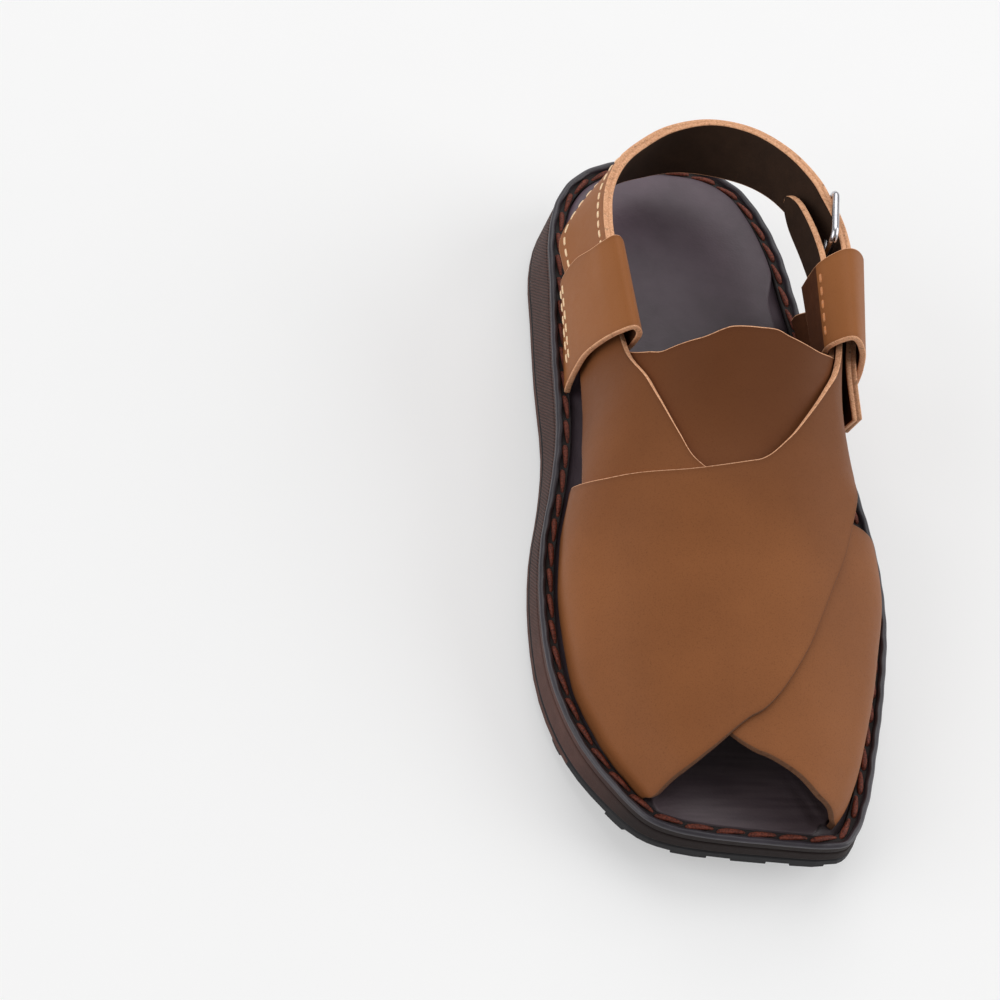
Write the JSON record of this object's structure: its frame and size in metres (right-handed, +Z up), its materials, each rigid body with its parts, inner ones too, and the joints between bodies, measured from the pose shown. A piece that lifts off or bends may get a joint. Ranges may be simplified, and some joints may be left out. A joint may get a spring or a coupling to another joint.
{
  "type": "peshawari chappal",
  "caption": "Open-toed leather sandal with crossing front straps, an inner tongue, a buckled heel strap through folded side loops and a lugged rubber sole.",
  "frame": {"origin": "On the floor, below the middle of the sole's bounding box", "axes": "+Z up from the floor, +Y along the shoe towards the heel (the toe points to -Y), +X to the outer side of the foot, where the buckle is"},
  "size_m": [0.1274, 0.2956, 0.0894],
  "materials": {
    "rubber": "matte moulded",
    "midsole_board": "matte, finely ribbed side",
    "welt_leather": "smooth with a dull shine",
    "insole_leather": "satin, fine grain",
    "tan_leather": "smooth waxed, semi-matte",
    "buckle_metal": "polished"
  },
  "bodies": {
    "root": {"outsole": "rubber", "midsole": "midsole_board", "welt": "welt_leather", "insole": "insole_leather", "upper": "tan_leather", "tongue": "tan_leather", "loop_inner": "tan_leather", "loop_outer": "tan_leather", "heel_strap": "tan_leather", "buckle_guard": "tan_leather", "buckle_frame": "buckle_metal", "buckle_prong": "buckle_metal"}
  },
  "joints": []
}
